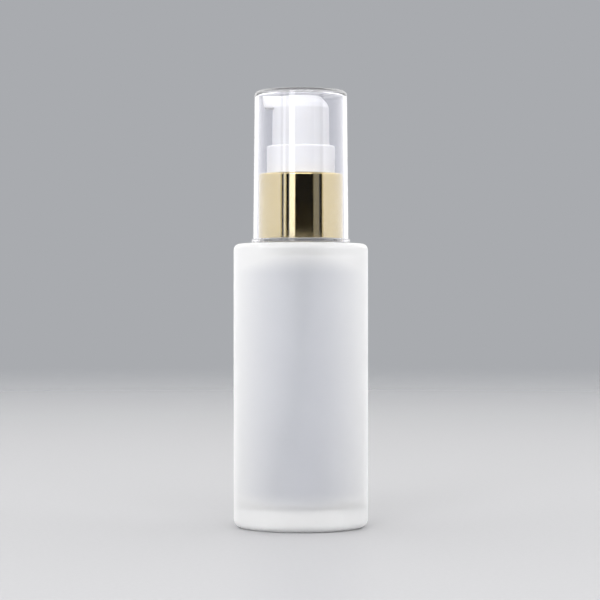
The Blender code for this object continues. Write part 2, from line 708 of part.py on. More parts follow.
def beak_mesh():
    """The nozzle's beak: a block from inside the actuator to the raked tip."""
    root = ACTUATOR_RADIUS - CROWN_INSET
    low, high = ACTUATOR_TOP_Z - BEAK_DEPTH, ACTUATOR_TOP_Z - BEAK_SETDOWN
    block = bmesh.new()
    bmesh.ops.create_cube(block, size=1.0)
    for vert in block.verts:
        tip, under = vert.co.x < 0, vert.co.z < 0
        reach = NOZZLE_REACH - (NOZZLE_RAKE if under else 0.0)
        vert.co.x = -reach if tip else -root / 2
        vert.co.y *= BEAK_WIDTH - (2 * BEAK_TAPER if tip else 0.0)
        vert.co.z = low if under else high
    bmesh.ops.bevel(
        block, geom=block.edges[:], offset=BEAK_ROUNDING, segments=2, profile=0.5, affect="EDGES"
    )
    mesh = bpy.data.meshes.new("beak")
    block.to_mesh(mesh)
    block.free()
    return mesh


def actuator(parts, helpers, material, parent):
    """The push button: a skirted shell, the post that holds the stem, and the channel to the nozzle."""
    top_radius = ACTUATOR_RADIUS - ACTUATOR_DRAFT
    roof_z = ACTUATOR_TOP_Z - ACTUATOR_ROOF
    shell_bore = ACTUATOR_RADIUS - ACTUATOR_WALL
    outline = rounded(
        [
            (0, ACTUATOR_TOP_Z),
            (ACTUATOR_RADIUS - CROWN_INSET, ACTUATOR_TOP_Z, CROWN_EDGE_ROUNDING),
            (top_radius - CROWN_STEP, ACTUATOR_TOP_Z - CROWN_DROP, CROWN_SIDE_ROUNDING),
            (top_radius, ACTUATOR_TOP_Z - 1.6 * CROWN_DROP, CROWN_SIDE_ROUNDING),
            (ACTUATOR_RADIUS, SKIRT_Z),
            (shell_bore, SKIRT_Z),
            (shell_bore - ACTUATOR_DRAFT, ACTUATOR_TOP_Z - 1.9 * CROWN_DROP),
            (ACTUATOR_RADIUS - CROWN_INSET - ACTUATOR_WALL, roof_z),
            (POST_RADIUS, roof_z),
            (POST_RADIUS, POST_Z),
            (POST_BORE, POST_Z),
            (POST_BORE, STEM_TOP_Z + REST_GAP),
            (0, STEM_TOP_Z + REST_GAP),
        ],
        closed=False,
    )
    mesh = turned_mesh("actuator", outline, ACTUATOR_FACETS, closed=False)
    piece = add_object("actuator", mesh, parts, material, parent, SKIRT_Z)
    front_wall = (-(top_radius - ACTUATOR_WALL / 2), 0, CHANNEL_Z)
    rib = rod_mesh(CHANNEL_RADIUS + CHANNEL_WALL - BEAK_SETDOWN, (0, 0, CHANNEL_Z), front_wall)
    combine(piece, cutter("channel_rib", rib, helpers), "UNION")
    combine(piece, cutter("beak", beak_mesh(), helpers), "UNION")
    riser = rod_mesh(STEM_BORE_RADIUS, (0, 0, STEM_TOP_Z), (0, 0, CHANNEL_Z))
    combine(piece, cutter("riser_drill", riser, helpers), "DIFFERENCE")
    channel = rod_mesh(
        CHANNEL_RADIUS,
        (STEM_BORE_RADIUS, 0, CHANNEL_Z),
        (-NOZZLE_REACH - REST_GAP, 0, CHANNEL_Z),
    )
    combine(piece, cutter("channel_drill", channel, helpers), "DIFFERENCE")
    return realised(piece)


def overcap(parts, material, parent):
    """The clear cover: a slightly tapered cup with a thin foot rim that stands just off the shoulder."""
    rim_top = OVERCAP_Z + OVERCAP_RIM_HEIGHT
    outer = OVERCAP_BORE + OVERCAP_WALL
    rim = outer + OVERCAP_RIM_WIDTH
    outline = rounded(
        [
            (0, OVERCAP_TOP_Z),
            (OVERCAP_TOP_BORE + OVERCAP_WALL, OVERCAP_TOP_Z, OVERCAP_ROUNDING),
            (outer, rim_top),
            (rim, rim_top),
            (rim, OVERCAP_Z),
            (OVERCAP_BORE, OVERCAP_Z),
            (OVERCAP_TOP_BORE, OVERCAP_ROOF_Z, OVERCAP_INNER_ROUNDING),
            (0, OVERCAP_ROOF_Z),
        ],
        closed=False,
    )
    mesh = turned_mesh("overcap", outline, LARGE_FACETS, closed=False)
    return realised(add_object("overcap", mesh, parts, material, parent, OVERCAP_Z))


def main():
    clear_scene()
    parts = make_collection("foundation_bottle")
    helpers = make_collection("cutters")

    frosted_glass = make_material("frosted_glass", (0.80, 0.81, 0.82), 0.45, alpha=0.6)
    clear_plastic = make_material("clear_plastic", (0.90, 0.90, 0.92), 0.03, alpha=0.25)
    white_plastic = make_material("white_plastic", (0.88, 0.88, 0.87), 0.30)
    soft_plastic = make_material("soft_plastic", (0.80, 0.81, 0.80), 0.45)
    natural_plastic = make_material("natural_plastic", (0.82, 0.83, 0.84), 0.35, alpha=0.7)
    gold_metal = make_material("gold_metal", (0.80, 0.65, 0.38), 0.08, metallic=1.0)
    steel = make_material("steel", (0.62, 0.62, 0.62), 0.22, metallic=1.0)

    pump_rise = joint_empty("pump_rise", parts, FLANGE_Z)
    closure_turn = joint_empty("closure_turn", parts, CLOSURE_Z, pump_rise)
    overcap_lift = joint_empty("overcap_lift", parts, OVERCAP_Z, closure_turn)
    press = joint_empty("press", parts, STEM_SHOULDER_Z, pump_rise)
    piston_float = joint_empty("piston_float", parts, PISTON_Z, press)
    actuator_swivel = joint_empty("actuator_swivel", parts, SKIRT_Z, press)
    ball_lift = joint_empty("ball_lift", parts, BALL_Z, pump_rise)

    bottle(parts, helpers, frosted_glass)
    gasket(parts, soft_plastic, pump_rise)
    pump_housing(parts, helpers, natural_plastic, pump_rise)
    chaplet(parts, white_plastic, pump_rise)
    dip_tube(parts, natural_plastic, pump_rise)
    spring(parts, steel, pump_rise)
    inlet_ball(parts, steel, ball_lift)
    stem(parts, helpers, white_plastic, press)
    piston_seat(parts, white_plastic, press)
    piston(parts, soft_plastic, piston_float)
    closure(parts, helpers, white_plastic, closure_turn)
    collar_shell(parts, gold_metal, closure_turn)
    actuator(parts, helpers, white_plastic, actuator_swivel)
    overcap(parts, clear_plastic, overcap_lift)


main()
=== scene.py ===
"""Foundation bottle: etched glass, lotion pump, polished collar and clear overcap.

Every piece is turned or drawn about the Z axis, stands on z = 0, and has its nozzle
towards -X. Sizes in the classes are in millimetres; heights and radii that a piece
shares with the frame are read from the frame.
"""

from __future__ import annotations

import logging
import math
from collections.abc import Callable, Sequence
from dataclasses import dataclass
from enum import Enum
from functools import cache
from typing import Any, NamedTuple

import bmesh
import bpy
from bpy.types import Material, Node, NodeSocket, NodeTree, Object, World
from mathutils import Matrix, Vector


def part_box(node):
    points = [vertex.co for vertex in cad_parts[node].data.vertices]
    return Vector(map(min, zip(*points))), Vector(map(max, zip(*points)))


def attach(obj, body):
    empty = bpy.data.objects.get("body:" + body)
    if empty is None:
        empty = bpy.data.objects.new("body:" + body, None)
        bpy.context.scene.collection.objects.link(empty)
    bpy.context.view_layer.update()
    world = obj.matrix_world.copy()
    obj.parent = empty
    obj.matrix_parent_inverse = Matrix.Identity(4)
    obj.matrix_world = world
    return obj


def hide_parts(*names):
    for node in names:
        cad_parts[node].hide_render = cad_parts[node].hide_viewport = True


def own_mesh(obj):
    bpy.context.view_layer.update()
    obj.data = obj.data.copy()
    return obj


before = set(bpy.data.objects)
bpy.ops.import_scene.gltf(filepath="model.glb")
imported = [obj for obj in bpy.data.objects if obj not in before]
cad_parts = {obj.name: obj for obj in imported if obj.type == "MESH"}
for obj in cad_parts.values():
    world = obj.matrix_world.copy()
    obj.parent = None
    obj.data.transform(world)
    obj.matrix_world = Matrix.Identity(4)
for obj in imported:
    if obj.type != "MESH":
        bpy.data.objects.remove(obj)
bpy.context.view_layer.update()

LOG = logging.getLogger("foundation_bottle")
MM = 0.001
FULL_TURN = 2 * math.pi
MERGE = 0.002 * MM
SHARP_ANGLE = math.radians(32)

LARGE_FACETS = 168
MIDDLE_FACETS = 120
SMALL_FACETS = 72
CHANNEL_FACETS = 40
HOLE_FACETS = 24
ROUNDING_STEPS = 6
EDGE_SHARE = 0.49
WIRE_SIDES = 16
COIL_STEPS = 48
TUBE_STEPS = 40

# The neck's screw thread, in millimetres and turns. Its ends start low and grow.
THREAD_PITCH = 3.175
THREAD_TURNS = 1.5
THREAD_TO_LIP = 2.0
THREAD_START = 0.3
THREAD_GROWTH = 5.6

# How far red, green and blue light go in a pale plastic: red a little further.
SCATTER = (1.0, 0.9, 0.8)


class Slot(Enum):
    """The record's material slots."""

    FROSTED_GLASS = "frosted_glass"
    CLEAR_PLASTIC = "clear_plastic"
    WHITE_PLASTIC = "white_plastic"
    SOFT_PLASTIC = "soft_plastic"
    NATURAL_PLASTIC = "natural_plastic"
    GOLD_METAL = "gold_metal"
    STEEL = "steel"


class Body(Enum):
    """The bodies that the joints move."""

    BOTTLE = "bottle"
    PUMP = "pump"
    CLOSURE = "closure"
    OVERCAP = "overcap"
    STEM = "stem"
    PISTON = "piston"
    ACTUATOR = "actuator"
    INLET_BALL = "inlet_ball"


class Fit(Enum):
    """How one shape is worked into another."""

    FUSED = "UNION"
    CARVED = "DIFFERENCE"


# --- Finishes ---


def linear(colour: str) -> tuple[float, float, float, float]:
    """Turns an sRGB hex colour to the linear values that a shader takes.

    Args:
        colour: six hex digits after a hash sign.

    Returns:
        Red, green, blue and an alpha of one.
    """
    parts = [int(colour[i : i + 2], 16) / 255 for i in (1, 3, 5)]
    red, green, blue = (
        p / 12.92 if p <= 0.04045 else ((p + 0.055) / 1.055) ** 2.4 for p in parts
    )
    return red, green, blue, 1.0


def add_node(
    tree: NodeTree,
    kind: str,
    inputs: dict[str | int, Any] | None = None,
    **settings: Any,
) -> Node:
    """Adds a node, sets it and links what feeds it.

    Args:
        tree: the tree that gets the node.
        kind: the node's type, without its ShaderNode prefix.
        inputs: for each input socket a value, or what to link to it, which is an output
            socket or a node, for its first output.
        settings: the node's own properties.

    Returns:
        The new node.
    """
    node = tree.nodes.new("ShaderNode" + kind)
    for name, value in settings.items():
        setattr(node, name, value)
    for socket, value in (inputs or {}).items():
        if isinstance(value, Node):
            value = value.outputs[0]
        if isinstance(value, NodeSocket):
            tree.links.new(value, node.inputs[socket])
        else:
            node.inputs[socket].default_value = value
    return node


def cleared(owner: Material | World) -> NodeTree:
    """Turns on the nodes of a material or a world and takes out its first ones.

    Args:
        owner: the material or world.

    Returns:
        Its empty tree.
    """
    owner.use_nodes = True
    owner.node_tree.nodes.clear()
    return owner.node_tree


class Layer(NamedTuple):
    """A layer of unevenness, from broad waves to fine lines.

    Its size is how wide a blob is in millimetres, its height is in micrometres, and its
    stretch is how many times longer a blob is along Z.
    """

    size: float
    height: float = 0.0
    stretch: float = 1.0

    def noise(self, tree: NodeTree, place: NodeSocket, detail: float = 2.0) -> Node:
        """Adds the layer's noise, with finer noise in it, at places in millimetres."""
        spread = add_node(
            tree, "Mapping", {"Vector": place, "Scale": (1.0, 1.0, 1.0 / self.stretch)}
        )
        return add_node(
            tree,
            "TexNoise",
            {"Vector": spread, "Scale": 1.0 / self.size, "Detail": detail},
        )


@dataclass(frozen=True)
class Finish:
    """A moulded, cast or drawn surface: a base shader with clouding, sheen and grain.

    The widths of its clouds and the depth that light sinks in are in millimetres. Its
    roughness is a middle value and how far it strays to each side.
    """

    name: str
    slot: Slot
    colour: str
    clouded: str
    cloud_size: float
    roughness: tuple[float, float]
    waves: Layer
    grain: Layer
    lines: Layer | None = None
    metallic: float = 0.0
    ior: float = 1.5
    transmission: float = 0.0
    subsurface: float = 0.0
    subsurface_depth: float = 0.6
    haze: float = 0.0
    haze_spread: float = 0.45

    def shader(self, tree: NodeTree) -> Node:
        """Adds the surface shader, with every uniform value on its own socket."""
        return add_node(
            tree,
            "BsdfPrincipled",
            {
                "Base Color": linear(self.colour),
                "Roughness": self.roughness[0],
                "Metallic": self.metallic,
                "IOR": self.ior,
                "Transmission Weight": self.transmission,
                "Subsurface Weight": self.subsurface,
                "Subsurface Radius": SCATTER,
                "Subsurface Scale": self.subsurface_depth * MM,
                "Sheen Weight": self.haze,
                "Sheen Roughness": self.haze_spread,
            },
        )

    def tint(self, tree: NodeTree, place: NodeSocket) -> NodeSocket:
        """Adds the colour, which drifts slowly from one tone to the other."""
        clouds = Layer(self.cloud_size).noise(tree, place, 3.0)
        return add_node(
            tree,
            "Mix",
            {"Factor": clouds, "A": linear(self.colour), "B": linear(self.clouded)},
            data_type="RGBA",
        ).outputs["Result"]

    def sheen(self, tree: NodeTree, place: NodeSocket) -> NodeSocket:
        """Adds the roughness, in patches three times as wide as the grain."""
        middle, spread = self.roughness
        return add_node(
            tree,
            "MapRange",
            {
                "Value": Layer(self.grain.size * 3).noise(tree, place),
                "To Min": middle - spread,
                "To Max": middle + spread,
            },
        ).outputs[0]

    def heights(self, tree: NodeTree, place: NodeSocket) -> list[tuple[Any, float]]:
        """Adds each layer's shape, from the waves on, and gives it with its height."""
        layers = ((self.waves, 1.0), (self.grain, 2.0), (self.lines, 2.0))
        return [
            (layer.noise(tree, place, detail), layer.height)
            for layer, detail in layers
            if layer
        ]

    @cache
    def build(self) -> Material:
        """Builds the material, which all the pieces of this finish then share."""
        material = bpy.data.materials.new(self.name)
        material.diffuse_color = linear(self.colour)
        tree = cleared(material)
        shader = self.shader(tree)
        add_node(tree, "OutputMaterial", {"Surface": shader})
        coordinates = add_node(tree, "TexCoord").outputs["Object"]
        place = add_node(
            tree, "Mapping", {"Vector": coordinates, "Scale": (1 / MM,) * 3}
        ).outputs[0]
        tree.links.new(self.tint(tree, place), shader.inputs["Base Color"])
        if self.roughness[1]:
            tree.links.new(self.sheen(tree, place), shader.inputs["Roughness"])
        under = {}
        for shape, height in self.heights(tree, place):
            reach = height * MM * MM
            inputs = {"Height": shape, "Strength": 1.0, "Distance": reach, **under}
            under = {"Normal": add_node(tree, "Bump", inputs).outputs[0]}
        tree.links.new(under["Normal"], shader.inputs["Normal"])
        return material


@dataclass(frozen=True)
class EtchedGlass(Finish):
    """Acid-etched glass, whiter where it is seen edge-on and where the wall is solid.

    The whiteness is painted light: a painted edge highlight, and a painted glow at the
    thick base and the shoulder that stands for light the glass guides up and down its
    wall.
    Heights are in millimetres.
    """

    painted_glow_colour: str = "#FFFFFF"
    edge_blend: float = 0.75
    solid_below: float = 4.7
    solid_above: float = 64.5
    falloff: float = 5.0
    full_share: float = 0.3

    def tint(self, tree: NodeTree, place: NodeSocket) -> NodeSocket:
        """Adds the colour, paler at its edges, its base and its shoulder.

        Args:
            tree: the material's tree.
            place: the piece's own coordinates, in millimetres.

        Returns:
            The colour.
        """
        # Painted light: the Facing term is a painted edge highlight, and the height
        # ramps below paint a glow at the solid base and shoulder.
        weight = add_node(tree, "LayerWeight", {"Blend": self.edge_blend})
        pale = weight.outputs["Facing"]
        height = add_node(tree, "SeparateXYZ", {0: place}).outputs[2]
        for solid, away in (
            (self.solid_below, self.falloff),
            (self.solid_above, -self.falloff),
        ):
            reach = add_node(
                tree,
                "MapRange",
                {
                    "Value": height,
                    "From Min": solid + away,
                    "From Max": solid - self.full_share * away,
                },
                interpolation_type="SMOOTHSTEP",
            )
            pale = add_node(tree, "Math", {0: pale, 1: reach}, operation="ADD")
        return add_node(
            tree,
            "Mix",
            {"Factor": pale, "A": super().tint(tree, place), "B": linear(self.painted_glow_colour)},
            data_type="RGBA",
        ).outputs["Result"]


@dataclass(frozen=True)
class FoamLiner(Finish):
    """Foamed polyethylene sheet, punched to a washer: a matt skin with closed cells."""

    cell_size: float = 0.22
    cell_depth: float = 22.0

    def heights(self, tree: NodeTree, place: NodeSocket) -> list[tuple[Any, float]]:
        """Adds the cells, which are shallow round dents, to the waves and the grain."""
        inputs = {"Vector": place, "Scale": 1.0 / self.cell_size}
        cells = add_node(tree, "TexVoronoi", inputs, feature="F1").outputs["Distance"]
        return [*super().heights(tree, place), (cells, self.cell_depth)]


# Soda-lime flint glass, blown and then dipped in acid: a fine even etch that turns the
# surface to a soft white glow and hides what is behind it. The real pits are far finer
# than the grain here, which is drawn coarse enough to break up a highlight.
# Its grey colour face-on turns white edge-on, at the base and at the shoulder: painted
# light, drawn in EtchedGlass.
ETCHED_GLASS = EtchedGlass(
    "acid_etched_glass",
    Slot.FROSTED_GLASS,
    "#DCDEE4",
    "#D2D4DB",
    cloud_size=11.0,
    roughness=(0.47, 0.05),
    waves=Layer(9.0, 30.0),
    grain=Layer(0.35, 5.0),
    ior=1.52,
    transmission=0.55,
    haze=1.0,
)

# The same glass inside, where the acid never reached: smooth, with the slow ripple
# that blowing leaves.
BLOWN_GLASS = Finish(
    "blown_glass_inside",
    Slot.FROSTED_GLASS,
    "#FEFEFF",
    "#FAFAFD",
    cloud_size=9.0,
    roughness=(0.26, 0.04),
    waves=Layer(5.0, 25.0),
    grain=Layer(1.2, 1.0),
    ior=1.52,
    transmission=0.9,
)

# Styrene acrylonitrile, injection moulded in a polished tool: water clear with a faint
# cool cast, sharp reflections, a few long flow waves, and a faint bloom from handling.
CLEAR_STYRENE = Finish(
    "clear_styrene",
    Slot.CLEAR_PLASTIC,
    "#F6F6FA",
    "#F1F1F7",
    cloud_size=14.0,
    roughness=(0.0, 0.0),
    waves=Layer(11.0, 4.0),
    grain=Layer(0.9, 0.15, 5.0),
    ior=1.57,
    transmission=1.0,
    haze=0.5,
    haze_spread=0.35,
)

# Polypropylene filled with white pigment, moulded with a semi-gloss tool: light sinks a
# little way in, so edges look soft and shadows stay pale.
WHITE_POLYPROPYLENE = Finish(
    "white_polypropylene",
    Slot.WHITE_PLASTIC,
    "#E9E9E7",
    "#E4E4E3",
    cloud_size=6.0,
    roughness=(0.34, 0.05),
    waves=Layer(4.5, 5.0),
    grain=Layer(0.28, 1.2),
    ior=1.49,
    subsurface=0.25,
    subsurface_depth=0.7,
)

# Unfilled polyethylene, moulded or extruded: milky, waxy and half clear.
NATURAL_POLYETHYLENE = Finish(
    "natural_polyethylene",
    Slot.NATURAL_PLASTIC,
    "#F3F6F6",
    "#E9EEEF",
    cloud_size=5.0,
    roughness=(0.38, 0.06),
    waves=Layer(3.0, 6.0),
    grain=Layer(0.3, 1.5, 4.0),
    ior=1.51,
    transmission=0.55,
)

# Soft low-density polyethylene, moulded: satin white, a little slippery to the eye.
SOFT_POLYETHYLENE = Finish(
    "soft_polyethylene",
    Slot.SOFT_PLASTIC,
    "#EDEFEE",
    "#E2E6E5",
    cloud_size=3.0,
    roughness=(0.45, 0.06),
    waves=Layer(2.5, 6.0),
    grain=Layer(0.25, 2.0),
    ior=1.51,
    subsurface=0.3,
    subsurface_depth=0.8,
)

# Foamed polyethylene sheet, punched out: matt white, with cells too small to see one by
# one, so they are drawn a little wider than they are.
FOAM_LINER = FoamLiner(
    "foam_liner",
    Slot.SOFT_PLASTIC,
    "#F0F1EF",
    "#E4E6E3",
    cloud_size=2.5,
    roughness=(0.62, 0.06),
    waves=Layer(2.0, 10.0),
    grain=Layer(0.2, 3.0),
)

# Aluminium, deep drawn, chemically polished, dyed champagne gold and anodised: a mirror
# with a warm tint, whose reflections waver a little where the wall was drawn. The lines
# that the drawing left run up the wall, and are drawn wider apart than they are.
GOLD_ANODISED = Finish(
    "gold_anodised_aluminium",
    Slot.GOLD_METAL,
    "#CABA8C",
    "#C6B584",
    cloud_size=5.0,
    roughness=(0.055, 0.02),
    waves=Layer(3.5, 9.0),
    grain=Layer(0.5, 0.03),
    lines=Layer(0.25, 0.15, 60.0),
    metallic=1.0,
)

# Stainless spring wire, cold drawn: bright with a fine lengthwise brush.
DRAWN_STEEL = Finish(
    "drawn_stainless_steel",
    Slot.STEEL,
    "#CFCFCC",
    "#BDBDBB",
    cloud_size=1.2,
    roughness=(0.22, 0.05),
    waves=Layer(1.5, 1.0),
    grain=Layer(0.1, 0.3),
    lines=Layer(0.08, 0.2, 3.0),
    metallic=1.0,
)

# The bearing ball is ground and lapped, so it is the brightest metal in the pump.
LAPPED_STEEL = Finish(
    "lapped_stainless_steel",
    Slot.STEEL,
    "#D8D8D6",
    "#CECECC",
    cloud_size=1.0,
    roughness=(0.06, 0.02),
    waves=Layer(1.0, 0.2),
    grain=Layer(0.2, 0.05),
    lines=Layer(0.3, 0.05, 1.0),
    metallic=1.0,
)


# --- Shapes ---


class Extent(NamedTuple):
    """The heights and the radius that a node of the frame takes up, in millimetres."""

    low: float
    high: float
    radius: float


@cache
def extent(node: str) -> Extent:
    """Reads a node's heights and its reach towards +X from the frame."""
    low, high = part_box(node)
    return Extent(low.z / MM, high.z / MM, high.x / MM)


def soften(shape: bmesh.types.BMesh, point: bmesh.types.BMVert, radius: float) -> None:
    """Rounds one corner of an outline.

    Args:
        shape: the outline's mesh.
        point: the corner, which has two edges.
        radius: the rounding's radius in millimetres.
    """
    first, second = (edge.other_vert(point).co - point.co for edge in point.link_edges)
    reach = radius * MM / math.tan(first.angle(second) / 2)
    bmesh.ops.bevel(
        shape,
        geom=[point],
        offset=min(reach, EDGE_SHARE * first.length, EDGE_SHARE * second.length),
        offset_type="OFFSET",
        segments=ROUNDING_STEPS,
        profile=0.5,
        affect="VERTICES",
        material=-1,
    )


def turned(name: str, facets: int, *outline: tuple[float, ...]) -> Object:
    """Turns an outline about the Z axis.

    Args:
        name: the piece's name.
        facets: the flats round the axis.
        outline: each corner's radius, height and rounding, if it has one. An outline
            that starts and ends on the axis is left open there, and any other is
            closed to a ring.

    Returns:
        The piece, not yet dressed.
    """
    shape = bmesh.new()
    points = [shape.verts.new((r * MM, 0.0, z * MM)) for r, z, *_ in outline]
    for here, there in zip(points, points[1:]):
        shape.edges.new((here, there))
    if outline[0][0] or outline[-1][0]:
        shape.edges.new((points[-1], points[0]))
    for point, (_, _, *rounding) in zip(points, outline):
        if rounding:
            soften(shape, point, *rounding)
    bmesh.ops.spin(
        shape,
        geom=shape.verts[:] + shape.edges[:],
        cent=(0, 0, 0),
        axis=(0, 0, 1),
        angle=FULL_TURN,
        steps=facets,
        use_merge=True,
    )
    return settled(name, shape)


def linked(name: str, data: bpy.types.ID) -> Object:
    """Makes an object and puts it in the scene.

    Args:
        name: the object's name.
        data: its mesh, curve, light or camera.

    Returns:
        The object, at the origin.
    """
    thing = bpy.data.objects.new(name, data)
    bpy.context.scene.collection.objects.link(thing)
    return thing


def settled(name: str, shape: bmesh.types.BMesh) -> Object:
    """Closes a mesh's seams and poles, points it outwards and makes it an object.

    Args:
        name: the object's name.
        shape: its mesh, which is freed.

    Returns:
        The object, at the origin.
    """
    bmesh.ops.remove_doubles(shape, verts=shape.verts, dist=MERGE)
    bmesh.ops.recalc_face_normals(shape, faces=shape.faces)
    mesh = bpy.data.meshes.new(name)
    shape.to_mesh(mesh)
    shape.free()
    return linked(name, mesh)


def rod(
    name: str,
    start: Sequence[float],
    end: Sequence[float],
    radii: tuple[float, float],
    facets: int = CHANNEL_FACETS,
) -> Object:
    """Makes a round rod or cone between two points, for working into another piece.

    Args:
        name: the rod's name.
        start: the middle of its first end, in millimetres.
        end: the middle of its last end, in millimetres.
        radii: its radius at each end, in millimetres.
        facets: the flats round it.

    Returns:
        The rod.
    """
    shape = bmesh.new()
    start, end = Vector(start), Vector(end)
    along = end - start
    turn = along.to_track_quat("Z", "X").to_matrix().to_4x4()
    half_flat = Matrix.Rotation(math.pi / facets, 4, "Z")
    bmesh.ops.create_cone(
        shape,
        cap_ends=True,
        segments=facets,
        radius1=radii[0] * MM,
        radius2=radii[1] * MM,
        depth=along.length * MM,
        matrix=Matrix.Translation((start + end) / 2 * MM) @ turn @ half_flat,
    )
    return settled(name, shape)


def drawn(
    name: str,
    points: Sequence[Vector],
    radius: float,
    shares: Sequence[float] | None = None,
    capped: bool = True,
) -> Object:
    """Draws a round wire or tube along a line.

    Args:
        name: the piece's name.
        points: the line, in millimetres.
        radius: the wire's radius in millimetres.
        shares: the share of that radius at each point, or one all along.
        capped: whether its ends are closed.

    Returns:
        The wire as a mesh.
    """
    curve = bpy.data.curves.new(name, "CURVE")
    curve.dimensions = "3D"
    curve.bevel_depth = radius * MM
    curve.bevel_resolution = WIRE_SIDES // 4
    curve.use_fill_caps = capped
    line = curve.splines.new("POLY")
    line.points.add(len(points) - 1)
    for spot, point, share in zip(line.points, points, shares or [1.0] * len(points)):
        spot.co = (*(point * MM), 1.0)
        spot.radius = share
    guide = linked(name, curve)
    shape = bmesh.new()
    graph = bpy.context.evaluated_depsgraph_get()
    shape.from_mesh(guide.evaluated_get(graph).to_mesh())
    bpy.data.objects.remove(guide)
    bpy.data.curves.remove(curve)
    return settled(name, shape)


def worked(piece: Object, tool: Object, fit: Fit) -> None:
    """Fuses a tool shape to a piece or carves it out, and uses the tool up.

    Args:
        piece: the piece that changes.
        tool: the shape that is worked into it.
        fit: whether the tool is fused or carved.
    """
    boolean = piece.modifiers.new(tool.name, "BOOLEAN")
    boolean.operation = fit.value
    boolean.object = tool
    boolean.solver = "MANIFOLD"
    applied(piece)
    bpy.data.objects.remove(tool)


def applied(piece: Object) -> None:
    """Makes the modifiers of a piece part of its mesh.

    Args:
        piece: the piece that changes.
    """
    graph = bpy.context.evaluated_depsgraph_get()
    mesh = bpy.data.meshes.new_from_object(piece.evaluated_get(graph))
    piece.modifiers.clear()
    piece.data = mesh
    mesh.name = piece.name


def helix(
    radius: float, low: float, turns: tuple[float, float]
) -> tuple[list[Vector], list[float]]:
    """Lays out the neck's right-hand screw line, which runs out at both ends.

    Args:
        radius: its distance from the axis in millimetres.
        low: its height at turn zero in millimetres.
        turns: the turns that it starts and ends at.

    Returns:
        The points in millimetres, and each one's share of the full thread.
    """
    steps = SMALL_FACETS
    count = round((turns[1] - turns[0]) * steps)
    points, shares = [], []
    for step in range(count + 1):
        turn = turns[0] + step / steps
        points.append(around(radius, turn, low + THREAD_PITCH * turn))
        run = min(step, count - step) / steps
        shares.append(min(1.0, THREAD_START + THREAD_GROWTH * run))
    return points, shares


def around(radius: float, turn: float, z: float) -> Vector:
    """Gives the point at a radius, a share of a turn from +X, and a height."""
    angle = FULL_TURN * turn
    return Vector((radius * math.cos(angle), radius * math.sin(angle), z))


def dressed(
    piece: Object,
    finish: Finish,
    body: Body,
    node: str,
    lining: tuple[Finish, Callable[[Vector], bool]] | None = None,
) -> None:
    """Gives a piece its finish and puts it on its body in place of a node.

    Args:
        piece: the finished shape.
        finish: what its surface is made of.
        body: what it moves with.
        node: the frame's node that it stands for.
        lining: another finish, and the test that a face's middle has to pass to get it.
    """
    piece.data.materials.clear()
    piece.data.materials.append(finish.build())
    if lining:
        piece.data.materials.append(lining[0].build())
        for face in piece.data.polygons:
            face.material_index = int(lining[1](face.center / MM))
    piece.data.shade_smooth()
    piece.data.set_sharp_from_angle(angle=SHARP_ANGLE)
    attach(piece, body.value)
    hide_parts(node)
    LOG.info("%s: %d faces on %s", piece.name, len(piece.data.polygons), body.value)


# --- The glass ---


@dataclass
class GlassBottle:
    """The blown bottle: a straight body with a heavy base, and a screw neck."""

    wall: float = 2.7
    floor: float = 4.7
    neck_height: float = 12.8
    neck_radius: float = 7.8
    neck_bore: float = 4.9
    shoulder_depth: float = 2.9
    push_up: float = 0.8
    foot_inner: float = 11.0
    heel: float = 2.0
    thread_depth: float = 1.1
    thread_sink: float = 0.1
    lining_reach: float = 0.05
    neck_reach: float = 0.3
    lip: float = 0.2

    def is_inside(self, point: Vector) -> bool:
        """Tells whether a face is on the inside, where the acid never reached.

        Args:
            point: the face's middle, in millimetres.

        Returns:
            True on the inside.
        """
        _, high, radius = extent("bottle")
        r = math.hypot(point.x, point.y)
        shoulder = high - self.neck_height
        near = self.lining_reach
        in_body = r <= radius - self.wall + near and (
            self.floor - near <= point.z <= shoulder - self.shoulder_depth + near
        )
        in_neck = r <= self.neck_bore + self.neck_reach and (
            self.floor < point.z < high - self.lip
        )
        return in_body or in_neck

    def make(self) -> None:
        """Turns the bottle, fuses its thread and dresses both of its sides."""
        low, high, radius = extent("bottle")
        shoulder = high - self.neck_height
        cavity = radius - self.wall
        glass = turned(
            "etched_glass_bottle",
            LARGE_FACETS,
            (0, self.floor),
            (cavity, self.floor, 2.5),
            (cavity, shoulder - self.shoulder_depth, 1.5),
            (self.neck_bore, shoulder - self.shoulder_depth, 0.8),
            (self.neck_bore, high, 0.25),
            (self.neck_radius, high, 0.4),
            (self.neck_radius, shoulder, 0.6),
            (radius, shoulder, 1.5),
            (radius, low, self.heel),
            (self.foot_inner, low, 0.3),
            (self.foot_inner - self.push_up, low + self.push_up, 0.5),
            (0, low + self.push_up),
        )
        start = high - THREAD_TO_LIP - THREAD_PITCH * THREAD_TURNS
        line = helix(self.neck_radius - self.thread_sink, start, (0.0, THREAD_TURNS))
        thread = drawn("neck_thread", line[0], self.thread_depth, line[1])
        worked(glass, thread, Fit.FUSED)
        dressed(
            glass, ETCHED_GLASS, Body.BOTTLE, "bottle", (BLOWN_GLASS, self.is_inside)
        )


# --- The pump inside ---


